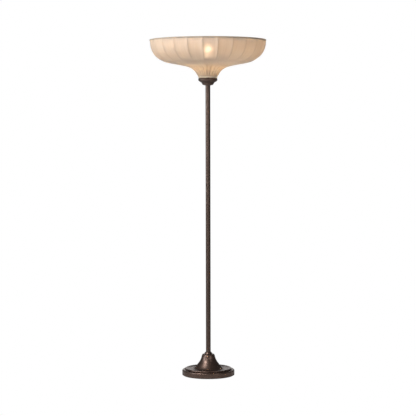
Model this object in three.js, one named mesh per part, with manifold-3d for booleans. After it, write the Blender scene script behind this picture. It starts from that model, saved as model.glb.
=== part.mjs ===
// Torchiere floor lamp: a weighted round base, a screw-together pole, and a gathered cloth shade on a
// wire frame round one bulb. Millimetres, +Z up, front facing -Y. The origin is on the floor, on the
// pole's axis.
import * as THREE from 'three';
import Module from 'manifold-3d';
import { mergeVertices } from 'three/addons/utils/BufferGeometryUtils.js';

const wasm = await Module();
wasm.setup();

// ---- driving dimensions ----
const GAP = 0.3; // left between pieces that touch
const HEIGHT = 1778; // floor to the shade's rim
const SHADE_RADIUS = 306.6;
const BASE_RADIUS = 139;
const POLE_RADIUS = 12.7;
const POLE_WALL = 1.2;
const PLINTH_TOP = 30.7;
const POLE_FOOT = 113.9; // where the pole stands on the bell
const POLE_HEAD = 1541; // top end of the pole
const POLE_SECTIONS = 3;
const ROD_RADIUS = 5; // threaded tube through the base, and the nipple through the head
const ROD_BORE = 3.4;
const ROD_HOLE = 5.3; // clearance hole for the threaded tube
const LEAD_RADIUS = 2.8;
const LEAD_HEIGHT = 10; // lead's axis where it enters the base
const LEAD_BEND = 14;
const CLOTH = 1.5;
const RIB_COUNT = 24;
const FIRST_RIB = THREE.MathUtils.degToRad(9.8); // from the front, towards +X
const RIB_WIRE = 1.25;
const RIB_GAP = 0.8; // between the cloth and the ribs
const RING_WIRE = 1.7;
const WASHER_LEVEL = 1650.3; // underside of the shade's washer
const SOCKET_FOOT = 1608.3;
const BODY_FOOT = 1626.4; // underside of the socket's insulating body
const BODY_TOP = 1645.5;
const SWITCH_LEVEL = 1634;
const BULB_TIP = 1649.5;
const BULB_LENGTH = 110;
const FILAMENT_FOOT = 1709;
const FILAMENT_LENGTH = 40;

// ---- materials ----
const finish = (color, roughness, metalness, more = {}) =>
  new THREE.MeshStandardMaterial({ color, roughness, metalness, ...more });
const bronze = () => finish(0x4a3a32, 0.38, 0.85);
const castIron = () => finish(0x3a3a3c, 0.8, 0.6);
const steel = () => finish(0xb4b4b0, 0.35, 1);
const brass = () => finish(0xc9a24d, 0.3, 1);
const plastic = (color) => finish(color, 0.5, 0);
const cloth = (color) => finish(color, 0.9, 0, { side: THREE.DoubleSide });
const clearGlass = () => finish(0xf4f1ea, 0.08, 0, { transparent: true, opacity: 0.35 });

// ---- shape helpers ----
// A profile of [radius, height] points turned about +Z. It runs anticlockwise, with the solid on its left.
function turned(profile, segments = 16, start = 0) {
  const points = profile.map(([radius, height]) => new THREE.Vector2(radius, height));
  const onAxis = profile[0][0] === 0 && profile.at(-1)[0] === 0;
  if (!onAxis) points.push(points[0].clone());
  return new THREE.LatheGeometry(points, segments, start).rotateX(Math.PI / 2);
}

const ring = (inner, outer, bottom, top, segments = 16) =>
  turned([[inner, bottom], [outer, bottom], [outer, top], [inner, top]], segments);

const rod = (radius, bottom, top, segments = 12) =>
  turned([[0, bottom], [radius, bottom], [radius, top], [0, top]], segments);

// Points of an arc in a profile, from one angle to another in degrees.
function arc(centreRadius, centreHeight, radius, from, to, steps = 3) {
  return Array.from({ length: steps + 1 }, (_, i) => {
    const angle = THREE.MathUtils.degToRad(from + ((to - from) * i) / steps);
    return [centreRadius + radius * Math.cos(angle), centreHeight + radius * Math.sin(angle)];
  });
}

// A profile's points moved along its own left-hand normal.
function offset(profile, distance) {
  return profile.map(([radius, height], i) => {
    const before = profile[Math.max(i - 1, 0)];
    const after = profile[Math.min(i + 1, profile.length - 1)];
    const along = new THREE.Vector2(after[0] - before[0], after[1] - before[1]).normalize();
    return [radius - along.y * distance, height + along.x * distance];
  });
}

// A round wire swept along a curve.
function wire(curve, radius, steps, sides = 8) {
  const corners = Array.from({ length: sides }, (_, i) => {
    const angle = (2 * Math.PI * (i + 0.5)) / sides;
    return new THREE.Vector2(radius * Math.cos(angle), radius * Math.sin(angle));
  });
  const options = { steps, extrudePath: curve, bevelEnabled: false };
  return new THREE.ExtrudeGeometry(new THREE.Shape(corners), options);
}

const smooth = (points) => new THREE.CatmullRomCurve3(points.map((p) => new THREE.Vector3(...p)));

const straight = (from, to) =>
  new THREE.LineCurve3(new THREE.Vector3(...from), new THREE.Vector3(...to));

function box(x, y, z) {
  const geometry = new THREE.BoxGeometry(x[1] - x[0], y[1] - y[0], z[1] - z[0]);
  return geometry.translate((x[0] + x[1]) / 2, (y[0] + y[1]) / 2, (z[0] + z[1]) / 2);
}

// ---- joining and cutting ----
function toSolid(geometry) {
  const bare = geometry.clone();
  bare.deleteAttribute('normal');
  bare.deleteAttribute('uv');
  const merged = mergeVertices(bare, 1e-3);
  const vertProperties = new Float32Array(merged.attributes.position.array);
  const triVerts = new Uint32Array(merged.index.array);
  return new wasm.Manifold(new wasm.Mesh({ numProp: 3, vertProperties, triVerts }));
}

function toGeometry(solid) {
  const mesh = solid.getMesh();
  const geometry = new THREE.BufferGeometry();
  geometry.setAttribute('position', new THREE.BufferAttribute(mesh.vertProperties, 3));
  geometry.setIndex(new THREE.BufferAttribute(mesh.triVerts, 1));
  geometry.computeVertexNormals();
  return geometry;
}

const join = (...parts) => toGeometry(parts.map(toSolid).reduce((sum, part) => sum.add(part)));

const cut = (body, ...tools) =>
  toGeometry(tools.map(toSolid).reduce((left, tool) => left.subtract(tool), toSolid(body)));

const lamp = new THREE.Group();

function place(name, geometry, material) {
  const mesh = new THREE.Mesh(geometry, material);
  mesh.name = name;
  lamp.add(mesh);
  return mesh;
}

// ---- base ----
// A felt disc the lamp stands on.
function feltPad() {
  place('felt_pad', rod(BASE_RADIUS - 5, 0, 2, 32), cloth(0x1d1c1b));
}

// The cast weight: a thick disc with a raised edge that carries the tiers and a hub inside the bell,
// hollow below for the nut and the lead.
function baseWeight() {
  const disc = turned([
    [20, 2.3], [132, 2.3], [132, 22.5], [127.5, PLINTH_TOP - 2.3], [106, PLINTH_TOP - 2.3], [100, 20],
    [36, 20], [28, 26], [28, 46], [ROD_HOLE, 46], [ROD_HOLE, 35.1], [20, 35.1],
  ], 32);
  const leadChannel = box([-4, 4], [14, BASE_RADIUS], [0, LEAD_HEIGHT + 3.5]);
  place('base_weight', cut(disc, leadChannel), castIron());
}

// The lower tier: a spun steel cover over the weight, with the lead's hole at the back.
function basePlinth() {
  const edge = 6;
  const bendLevel = PLINTH_TOP - 0.2 - edge;
  const shoulder = arc(BASE_RADIUS - edge, bendLevel, edge, 0, 90);
  const inside = arc(BASE_RADIUS - edge, bendLevel, edge - 2, 90, 0);
  const shell = turned([
    [BASE_RADIUS, 3], ...shoulder, [100, PLINTH_TOP], [100, PLINTH_TOP - 2], ...inside, [BASE_RADIUS - 2, 3],
  ], 40);
  const leadHole = rod(4.9, -6, 6).rotateX(-Math.PI / 2).translate(0, BASE_RADIUS, LEAD_HEIGHT);
  place('base_plinth', cut(shell, leadHole), bronze());
}

// The upper tier: a raised lip, a shallow dish and the bell that carries the pole, spun in one.
function baseDome() {
  const lip = [[118, 31], [122.3, 31], [123.7, 33.7], [123, 37.1], [119.5, 39.1], [115, 38.1]];
  const dish = [[107, 35.5], [98, 34.1], [88, 34.6], [78, 38.4]];
  const bell = [[69, 45.8], [61, 54.8], [54, 63.4], [47.4, 71.8], [41.8, 81.5], [37.4, 93], [34.9, 104.2]];
  const shoulder = [[33.2, 105.4], [32.8, 108.6], [30.7, 112], [27.2, 113.3]];
  const sparse = [...dish, ...bell].filter((_, i) => i % 2 === 0);
  const inside = offset(sparse, 2).reverse();
  const shell = turned([
    ...lip, ...dish, ...bell, ...shoulder, [ROD_HOLE, POLE_FOOT - GAP], [ROD_HOLE, 111.5], [26.5, 111.3],
    [30.4, 108], ...inside, [114, 35.1], [117.3, 34.7],
  ], 32);
  place('base_dome', shell, bronze());
}

// The small turned collar that hides the foot of the pole.
function poleCollar() {
  const bore = POLE_RADIUS + GAP;
  place('pole_collar', turned([
    [bore, POLE_FOOT], [20.2, POLE_FOOT], [20.7, POLE_FOOT + 1.5], [19.4, POLE_FOOT + 4.7],
    [16.4, POLE_FOOT + 8.4], [14.3, POLE_FOOT + 10.8], [bore, POLE_FOOT + 11.1],
  ], 24), bronze());
}

function hexNut(acrossCorners, bottom, top) {
  const outline = new THREE.Shape(Array.from({ length: 6 }, (_, i) =>
    new THREE.Vector2(acrossCorners, 0).rotateAround(new THREE.Vector2(), (i * Math.PI) / 3)));
  outline.holes.push(new THREE.Path().absarc(0, 0, ROD_HOLE, 0, 2 * Math.PI, true));
  const options = { depth: top - bottom, bevelEnabled: false, curveSegments: 16 };
  return new THREE.ExtrudeGeometry(outline, options).translate(0, 0, bottom);
}

// The threaded tube that pulls pole, bell and weight together, with its washer and nut.
function baseFixings() {
  place('base_rod', ring(ROD_BORE, ROD_RADIUS, 24, 133, 16), steel());
  place('base_washer', ring(ROD_HOLE, 14, 33.3, 34.8), steel());
  place('base_lock_nut', hexNut(10, 25.5, 33), steel());
}

// The rubber bush in the plinth's wall.
function leadBush() {
  const bush = turned([
    [3.2, -4.5], [6.5, -4.5], [6.5, -2.6], [4.6, -2.6], [4.6, 0.3], [7, 0.3], [6.4, 2.2], [3.2, 2.2],
  ], 16);
  const mesh = place('lead_bush', bush, finish(0x161616, 0.8, 0));
  mesh.rotation.x = -Math.PI / 2;
  mesh.position.set(0, BASE_RADIUS, LEAD_HEIGHT);
}

// The lead inside the lamp: along the channel, round one bend, and up the pole to the socket.
function innerLead() {
  const bendStart = [0, LEAD_BEND, LEAD_HEIGHT];
  const bendEnd = [0, 0, LEAD_HEIGHT + LEAD_BEND];
  const kappa = 0.5523 * LEAD_BEND; // cubic handle length for a quarter circle
  const bend = new THREE.CubicBezierCurve3(
    new THREE.Vector3(...bendStart),
    new THREE.Vector3(0, LEAD_BEND - kappa, LEAD_HEIGHT),
    new THREE.Vector3(0, 0, LEAD_HEIGHT + LEAD_BEND - kappa),
    new THREE.Vector3(...bendEnd),
  );
  const entry = straight([0, BASE_RADIUS + 1, LEAD_HEIGHT], [0, LEAD_BEND - 0.2, LEAD_HEIGHT]);
  const rise = straight([0, 0, LEAD_HEIGHT + LEAD_BEND - 0.2], [0, 0, SOCKET_FOOT + 9.6]);
  const lead = join(wire(entry, LEAD_RADIUS, 1), wire(bend, LEAD_RADIUS, 6), wire(rise, LEAD_RADIUS, 1));
  place('inner_lead', lead, finish(0x2a2019, 0.6, 0));
}

// ---- pole ----
const PLUG_RADIUS = POLE_RADIUS - POLE_WALL - GAP;
const SECTION_LENGTH = (POLE_HEAD - POLE_FOOT) / POLE_SECTIONS;
const SECTION_NAMES = ['lower', 'middle', 'upper'];

function poleSections() {
  SECTION_NAMES.forEach((name, i) => {
    const bottom = POLE_FOOT + i * SECTION_LENGTH + (i ? GAP / 2 : 0);
    const top = POLE_FOOT + (i + 1) * SECTION_LENGTH - (i < POLE_SECTIONS - 1 ? GAP / 2 : 0);
    const tube = ring(POLE_RADIUS - POLE_WALL, POLE_RADIUS, bottom, top);
    place(`${name}_tube`, tube, bronze());
  });
}

// At each join, an insert in the section below takes the stud in the section above.
function poleJoins() {
  for (let i = 1; i < POLE_SECTIONS; i += 1) {
    const level = POLE_FOOT + i * SECTION_LENGTH;
    const insert = ring(6.5, PLUG_RADIUS, level - 24, level - GAP, 20);
    const stud = turned([
      [3.6, level - 20], [6.2, level - 20], [6.2, level + GAP], [PLUG_RADIUS, level + GAP],
      [PLUG_RADIUS, level + 16], [3.6, level + 16],
    ], 20);
    place(`${SECTION_NAMES[i - 1]}_tube_insert`, insert, steel());
    place(`${SECTION_NAMES[i]}_tube_stud`, stud, steel());
  }
}

function polePlugs() {
  place('foot_plug', ring(ROD_HOLE, PLUG_RADIUS, POLE_FOOT + GAP, 131, 20), steel());
  place('head_plug', ring(ROD_HOLE, PLUG_RADIUS, 1524, POLE_HEAD, 20), steel());
}

// ---- head ----
// The bead that swells from the pole's top end, and carries the cap.
function capBead() {
  const bore = POLE_RADIUS + GAP;
  place('cap_bead', turned([
    [bore, 1538.4], [15.6, 1539], [22.4, 1540.2], [27.6, 1542.4], [29.6, 1545.4], [30.4, 1548.2],
    [33.4, 1549.8], [34.2, 1551.4], [33.2, 1552.6], [ROD_HOLE, 1552.6], [ROD_HOLE, POLE_HEAD + GAP],
    [bore, POLE_HEAD + GAP],
  ], 24), bronze());
}

// The spun cap under the shade, with a rounded edge and an open top.
function shadeCap() {
  place('shade_cap', turned([
    [ROD_HOLE, 1552.9], [31, 1552.9], [36.4, 1554.4], [42.6, 1558.4], [46.8, 1561.2], [49.6, 1564],
    [50.6, 1568.4], [50, 1573], [48.2, 1576.4], [46.4, 1577], [46, 1575], [47.8, 1571],
    [47, 1566], [44.6, 1563], [40.8, 1560.2], [34.6, 1556.4], [ROD_HOLE, 1555],
  ], 28), bronze());
}

function headFixings() {
  place('head_nipple', ring(ROD_BORE, ROD_RADIUS, 1526, 1617, 16), steel());
  place('cap_lock_nut', hexNut(10, 1556, 1561), steel());
  place('riser_tube', ring(5.4, 8.5, 1561.3, SOCKET_FOOT - GAP, 20), bronze());
}

// ---- socket ----
function socketCup() {
  place('socket_cup', turned([
    [5.4, SOCKET_FOOT], [10, SOCKET_FOOT], [12, 1611], [17.6, 1616], [18.6, 1619], [18.6, 1627.5],
    [17.3, 1627.5], [17.3, 1619.5], [16.4, 1617.2], [11, 1612.6], [5.4, 1612.6],
  ], 20), brass());
}

// The insulating body, with a pocket for the switch and holes for its spindle, screws and contact.
function socketBody() {
  const body = rod(17, BODY_FOOT, BODY_TOP, 20);
  const pocket = box([-8, 8], [-6, 6], [BODY_FOOT - 1, BODY_TOP - 4]);
  const spindleHole = rod(2.5, 0, 20, 12).rotateY(Math.PI / 2).translate(0, 0, SWITCH_LEVEL);
  const screwHoles = [-10.5, 10.5].map((y) => rod(1.6, BODY_FOOT - 1, 1636, 12).translate(0, y, 0));
  const contactHole = rod(2, BODY_TOP - 6, BODY_TOP + 1, 12);
  const cutters = [pocket, spindleHole, ...screwHoles, contactHole];
  place('socket_body', cut(body, ...cutters), plastic(0x1a1a1c));
}

// The threaded skirt: its flange carries the shade's washer, and the ring nut clamps it.
function socketSkirt() {
  place('socket_skirt', turned([
    [14.4, 1645.8], [23, 1645.8], [23, WASHER_LEVEL - GAP], [19.6, WASHER_LEVEL - GAP],
    [19.6, 1680.5], [18.8, 1681.5], [14.4, 1681.5],
  ], 24), plastic(0x1a1a1c));
}

function socketContacts() {
  place('screw_shell', turned([
    [3.2, 1645.8], [13.95, 1645.8], [13.95, 1677], [13.4, 1677], [13.4, 1646.4], [3.2, 1646.4],
  ], 24), brass());
  place('centre_contact', turned([
    [0, 1641], [1.5, 1641], [1.5, 1648], [2.8, 1648], [2.8, 1649.2], [0, 1649.2],
  ], 12), brass());
  for (const [name, side] of [['live', 1], ['neutral', -1]]) {
    const screw = turned([[0, 1623.6], [3, 1623.6], [3, 1626.1], [1.3, 1626.1], [1.3, 1634], [0, 1634]], 12);
    place(`terminal_screw_${name}`, screw, brass()).position.y = side * 10.5;
    const route = smooth([
      [0, side * 1.5, 1618.3], [0, side * 2.4, 1620.4], [0, side * 6.5, 1621.3], [0, side * 9.9, 1621.7],
      [0, side * 10.5, 1623.2],
    ]);
    place(`wire_${name}`, wire(route, 0.9, 8, 6), plastic(side > 0 ? 0x1c1c1c : 0xe8e4da));
  }
}

// The turn switch lies across the socket's body. Its cam, spindle and knob turn as one about +X.
function turnSwitch() {
  const square = box([-3.5, 3.5], [-3.5, 3.5], [-2, 3]);
  const pieces = {
    switch_cam: [cut(square, rod(2.5, -3, 4, 12)), plastic(0x8a3b22)],
    switch_spindle: [rod(2.2, -4, 33.4, 12), brass()],
    switch_knob: [turned([
      [0, 34], [2.5, 34], [2.5, 19.3], [6.4, 19.3], [7, 21], [6.6, 36], [5.4, 38], [0, 38.4],
    ], 18), plastic(0x1a1a1c)],
  };
  for (const [name, [geometry, material]] of Object.entries(pieces)) {
    const mesh = place(name, geometry, material);
    mesh.rotation.y = Math.PI / 2;
    mesh.position.z = SWITCH_LEVEL;
  }
}

function ringNut() {
  const bottom = WASHER_LEVEL + 2 + GAP;
  place('ring_nut', turned([
    [20, bottom], [24.4, bottom], [24.4, bottom + 3.6], [22.4, bottom + 5.8], [20, bottom + 5.8],
  ], 24), plastic(0x1a1a1c));
}

// ---- shade ----
// Outline of the cloth from its neck to its rim: a flared neck, a shallow belly and a round shoulder.
const SHADE_OUTLINE = [
  [50.4, 1584.8], [56.6, 1596], [67.5, 1613], [84.6, 1628], [112, 1638.8], [194.7, 1655],
  [228, 1663], [258, 1678.5], [282, 1699], [299.5, 1731], [SHADE_RADIUS, HEIGHT - 3.3],
];

function shadeCloth() {
  const inner = offset(SHADE_OUTLINE, CLOTH).reverse();
  place('shade_cloth', turned([...SHADE_OUTLINE, ...inner], RIB_COUNT, FIRST_RIB), cloth(0xe0cba9));
}

function shadeTrims() {
  const rim = turned([
    [SHADE_RADIUS - 3, HEIGHT - 3], [SHADE_RADIUS, HEIGHT - 3], [SHADE_RADIUS, HEIGHT - 0.7],
    [SHADE_RADIUS - 1.5, HEIGHT], [SHADE_RADIUS - 3, HEIGHT - 0.7],
  ], RIB_COUNT, FIRST_RIB);
  place('rim_trim', rim, cloth(0xb89a72));
  const hem = turned([[48.4, 1578.3], [50, 1578.3], [50.4, 1584.4], [48.8, 1584.4]], RIB_COUNT, FIRST_RIB);
  place('neck_hem', hem, cloth(0xead6b4));
}

function hoop(radius, wireRadius, height) {
  return new THREE.TorusGeometry(radius, wireRadius, 4, RIB_COUNT)
    .rotateZ(FIRST_RIB - Math.PI / 2)
    .translate(0, 0, height);
}

// The welded wire cage that the cloth is stretched over: rim ring, neck ring and the ribs.
function shadeCage() {
  const line = [[48.2, 1580.6], ...SHADE_OUTLINE.slice(0, -1), [SHADE_RADIUS, HEIGHT - 5.5]];
  const outside = offset(line, CLOTH + RIB_GAP);
  const inside = offset(line, CLOTH + RIB_GAP + 2 * RIB_WIRE).reverse();
  const outline = new THREE.Shape([...outside, ...inside].map((point) => new THREE.Vector2(...point)));
  const rib = new THREE.ExtrudeGeometry(outline, { depth: 2 * RIB_WIRE, bevelEnabled: false })
    .translate(0, 0, -RIB_WIRE)
    .rotateX(Math.PI / 2)
    .rotateZ(-Math.PI / 2);
  const ribs = Array.from({ length: RIB_COUNT }, (_, i) =>
    rib.clone().rotateZ(FIRST_RIB + (2 * Math.PI * i) / RIB_COUNT));
  const rim = hoop(301.2, RING_WIRE, HEIGHT - 6.5);
  const neck = hoop(46, RIB_WIRE, 1581);
  place('shade_cage', join(rim, neck, ...ribs), brass());
}

// The spider soldered into the cage: a washer that sits on the socket, three arms and a ring in the belly.
function shadeSpider() {
  const ringLevel = 1641.9;
  const arm = wire(straight([0, -25, WASHER_LEVEL + 1], [0, -101, ringLevel]), RING_WIRE, 1, 6);
  const arms = [0, 1, 2].map((i) => arm.clone().rotateZ(FIRST_RIB + (2 * Math.PI * i) / 3));
  const washer = ring(20.1, 27, WASHER_LEVEL, WASHER_LEVEL + 2);
  place('shade_spider', join(hoop(100.5, RING_WIRE, ringLevel), washer, ...arms), brass());
}

// ---- bulb ----
// The filament bulb: heights here are measured up from its contact tip.
function bulb() {
  const at = (profile) => profile.map(([radius, height]) => [radius, BULB_TIP + height]);
  place('bulb_contact', turned(at([[0, 0], [2.2, 0], [2.3, 2], [0, 2]]), 12), brass());
  place('bulb_insulator', turned(at([[2.7, 1.1], [5, 1.1], [7.1, 2.6], [7.1, 4], [2.7, 4]]), 16),
    plastic(0x101014));
  place('bulb_screw_cap', turned(at([
    [7.5, 2.5], [13.1, 5.5], [13.1, 27.5], [12.7, 27.5], [12.7, 5.8], [7.5, 3],
  ]), 24), steel());
  place('bulb_driver', turned(at([[0, 6], [9, 6], [9, 17], [0, 17]]), 12), plastic(0x2c5a38));
  const glassOuter = [[12.3, 20], [12.3, 28.5], [14.2, 34], [18.6, 46], [25.4, 60]];
  const globe = arc(0, 78, 30, -19, 84, 6);
  const glassInner = offset([...glassOuter.slice(1), ...globe], 0.9).reverse();
  place('bulb_glass', turned([...at([...glassOuter, ...globe]), [0, BULB_TIP + BULB_LENGTH],
    [0, BULB_TIP + BULB_LENGTH - 0.9], ...at([...glassInner, [11.4, 20]])], 16), clearGlass());
  place('bulb_stem', turned(at([
    [0, 21], [10.8, 21], [10.4, 24], [4, 36], [2.4, 44], [2.4, 100.5], [0, 101],
  ]), 12), clearGlass());
  filaments();
}

// Four glowing rods lean outwards between two wire stars, one low and one high on the glass stem.
function filaments() {
  const lean = 2;
  const footReach = 7;
  const top = FILAMENT_FOOT + FILAMENT_LENGTH;
  const star = (reach, height) => {
    const hub = ring(2.7, 3.5, height - 0.8, height + 0.8, 12);
    const arms = [0, 1, 2, 3].map((i) =>
      wire(straight([3, 0, height], [reach + 0.8, 0, height]), 0.5, 1, 6).rotateZ((i * Math.PI) / 2));
    return join(hub, ...arms);
  };
  place('filament_star_lower', star(footReach, FILAMENT_FOOT - 1.8), steel());
  place('filament_star_upper', star(footReach + lean, top + 1.8), steel());
  for (let i = 0; i < 4; i += 1) {
    const line = straight([footReach, 0, FILAMENT_FOOT - 0.6], [footReach + lean, 0, top + 0.6]);
    const glow = finish(0xffd9a0, 0.5, 0, { emissive: 0xffb45e });
    place(`filament_${i + 1}`, wire(line, 1.1, 1, 6).rotateZ((i * Math.PI) / 2), glow);
  }
}

feltPad();
baseWeight();
basePlinth();
baseDome();
poleCollar();
baseFixings();
leadBush();
innerLead();
poleSections();
poleJoins();
polePlugs();
capBead();
shadeCap();
headFixings();
socketCup();
socketBody();
socketSkirt();
socketContacts();
turnSwitch();
ringNut();
shadeCloth();
shadeTrims();
shadeCage();
shadeSpider();
bulb();

export default lamp;
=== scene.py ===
"""Torchiere floor lamp: weighted bronze base, slim bronze pole and a gathered cloth bowl on a wire cage.

Turned profiles are (radius, height) in millimetres, as on a shop drawing; every mesh ends up in metres.
Angles round the lamp start at the front (-Y) and grow towards +X.
"""
import math

import bpy
import numpy as np
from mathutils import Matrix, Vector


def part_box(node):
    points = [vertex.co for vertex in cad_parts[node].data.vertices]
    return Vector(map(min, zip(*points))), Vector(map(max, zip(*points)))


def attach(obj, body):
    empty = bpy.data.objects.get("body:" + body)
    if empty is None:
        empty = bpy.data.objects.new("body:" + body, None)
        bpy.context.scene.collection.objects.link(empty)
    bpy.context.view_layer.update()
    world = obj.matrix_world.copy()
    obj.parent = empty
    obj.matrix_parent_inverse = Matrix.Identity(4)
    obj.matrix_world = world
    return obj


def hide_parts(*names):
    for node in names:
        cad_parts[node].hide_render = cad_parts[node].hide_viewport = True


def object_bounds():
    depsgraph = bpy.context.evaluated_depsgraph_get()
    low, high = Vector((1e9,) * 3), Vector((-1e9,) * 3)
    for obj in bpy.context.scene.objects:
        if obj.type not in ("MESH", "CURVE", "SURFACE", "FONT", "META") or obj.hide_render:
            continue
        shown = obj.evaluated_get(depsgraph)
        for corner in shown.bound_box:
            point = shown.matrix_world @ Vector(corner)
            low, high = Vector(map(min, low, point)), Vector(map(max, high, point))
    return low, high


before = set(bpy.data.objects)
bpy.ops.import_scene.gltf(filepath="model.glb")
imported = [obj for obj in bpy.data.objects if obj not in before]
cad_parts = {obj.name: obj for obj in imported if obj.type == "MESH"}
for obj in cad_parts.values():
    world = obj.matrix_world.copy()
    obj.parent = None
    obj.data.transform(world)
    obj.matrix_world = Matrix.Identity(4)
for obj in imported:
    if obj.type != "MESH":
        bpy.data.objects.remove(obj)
cad_low, cad_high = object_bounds()

MM = 0.001
TURN = 2 * math.pi

# ---- driving sizes, millimetres ----
HEIGHT = cad_high[2] / MM
SHADE_RADIUS = 306.6
BASE_RADIUS = 139.0
FELT_RADIUS = 134.0
POLE_RADIUS = 12.7
POLE_WALL = 1.2
PLINTH_TOP = 30.7
POLE_FOOT = 113.9
RIB_COUNT = 24
FIRST_RIB = math.radians(9.8)
RIB_WIRE = 1.25
RING_WIRE = 1.7
RIM_RING_LEVEL = HEIGHT - 6.5
RIB_INSET = 3.55  # cloth's outside to the rib wire's centre
CLOTH = 0.8
PANEL_SAG = 6.0  # how far the stretched cloth sinks between two ribs
SEAM_ALLOWANCE = 11.0  # width of the doubled cloth beside each rib
NECK_FOLDS = 26
SWITCH_LEVEL = 1634.0
LEAD_HEIGHT = 10.0
BULB_TIP = 1649.5
FILAMENT_FOOT = 1709.0
FILAMENT_LENGTH = 40.0
BULB_LIGHT_RADIUS = 18.0


# ---- camera ----
def make_camera():
    """A long lens straight ahead of the lamp, a little below its middle and looking slightly down."""
    camera = bpy.data.objects.new("camera", bpy.data.cameras.new("camera"))
    bpy.context.scene.collection.objects.link(camera)
    camera.location = (0.0003, -7.535, 1.302)
    camera.rotation_euler = (math.radians(90 - 3.122), math.radians(0.1), 0)
    camera.data.lens = 123.22
    camera.data.sensor_width = 36
    camera.data.clip_end = 200
    bpy.context.scene.camera = camera


make_camera()


# ---- profiles ----
def softened(corners, radius=0.5, steps=4, closed=True):
    """Round the corners of a profile.

    Each corner is cut back along both edges by the fillet's tangent length and replaced by a circular arc,
    written as a rational curve of weight sin(half the corner's angle). One more point each side of the arc
    keeps the flats flat.
    """
    p = np.asarray(corners, float)
    back, ahead = np.roll(p, 1, 0) - p, np.roll(p, -1, 0) - p
    back_length = np.linalg.norm(back, axis=1)
    ahead_length = np.linalg.norm(ahead, axis=1)
    u, v = back / back_length[:, None], ahead / ahead_length[:, None]
    half = np.arccos(np.clip((u * v).sum(1), -1, 1)) / 2
    tangent = np.broadcast_to(radius, len(p)) / np.maximum(np.tan(half), 0.05)
    reach = np.minimum(tangent, 0.42 * np.minimum(back_length, ahead_length))[:, None]
    t = np.linspace(0, 1, steps + 1)[None, :, None]
    a, b, middle = (p + u * reach)[:, None], (p + v * reach)[:, None], p[:, None]
    weight = np.sin(half)[:, None, None]
    over = (1 - t) ** 2 + 2 * t * (1 - t) * weight + t**2
    arc = ((1 - t) ** 2 * a + 2 * t * (1 - t) * weight * middle + t**2 * b) / over
    rounded = np.concatenate([(p + 1.18 * u * reach)[:, None], arc, (p + 1.18 * v * reach)[:, None]], axis=1)
    if closed:
        return rounded.reshape(-1, 2)
    return np.concatenate([p[:1], rounded[1:-1].reshape(-1, 2), p[-1:]])


def flowing(points, per_span=6):
    """A smooth line through the points: a cubic on each span whose end slopes are the chords' weighted mean."""
    p = np.asarray(points, float)
    step = np.diff(p, axis=0)
    length = np.linalg.norm(step, axis=1)[:, None]
    chord = step / length
    inner = (chord[:-1] * length[1:] + chord[1:] * length[:-1]) / (length[:-1] + length[1:])
    slope = np.concatenate([chord[:1], inner, chord[-1:]])
    t = np.linspace(0, 1, per_span, endpoint=False)[None, :, None]
    start, end = p[:-1, None], p[1:, None]
    leave, arrive = (slope[:-1] * length)[:, None], (slope[1:] * length)[:, None]
    line = (
        (2 * t**3 - 3 * t**2 + 1) * start
        + (t**3 - 2 * t**2 + t) * leave
        + (3 * t**2 - 2 * t**3) * end
        + (t**3 - t**2) * arrive
    )
    return np.concatenate([line.reshape(-1, p.shape[1]), p[-1:]])


def inset(line, distance):
    """The line moved to its left by a distance, along the mean normal of its neighbouring chords."""
    p = np.asarray(line, float)
    along = np.gradient(p, axis=0)
    along /= np.linalg.norm(along, axis=1)[:, None]
    return p + distance * np.stack([-along[:, 1], along[:, 0]], axis=1)


def stepped(profile, step, closed=True):
    """The same profile with extra points, so that none are further apart than step."""
    p = np.asarray(profile, float)
    if closed:
        p = np.concatenate([p, p[:1]])
    run = np.concatenate([[0], np.cumsum(np.linalg.norm(np.diff(p, axis=0), axis=1))])
    wanted = np.unique(np.concatenate([run, np.arange(0, run[-1], step)]).round(5))
    fine = np.stack([np.interp(wanted, run, p[:, 0]), np.interp(wanted, run, p[:, 1])], axis=1)
    return fine[:-1] if closed else fine


def edge_of(profile, closed):
    """How sharply a profile turns outwards at each point, from 0 on flats to 1 at a 1 mm edge."""
    p = np.asarray(profile, float)
    before, after = p - np.roll(p, 1, 0), np.roll(p, -1, 0) - p
    turn = np.arctan2(
        before[:, 0] * after[:, 1] - before[:, 1] * after[:, 0], (before * after).sum(1)
    )
    area = (p[:, 0] * np.roll(p[:, 1], -1) - np.roll(p[:, 0], -1) * p[:, 1]).sum()
    length = (np.linalg.norm(before, axis=1) + np.linalg.norm(after, axis=1)) / 2
    bend = np.clip(np.sign(area) * turn / np.maximum(length, 0.05), 0, 1)
    if not closed:
        bend[[0, -1]] = 0
    return 0.25 * np.roll(bend, 1) + 0.5 * bend + 0.25 * np.roll(bend, -1)


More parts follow.
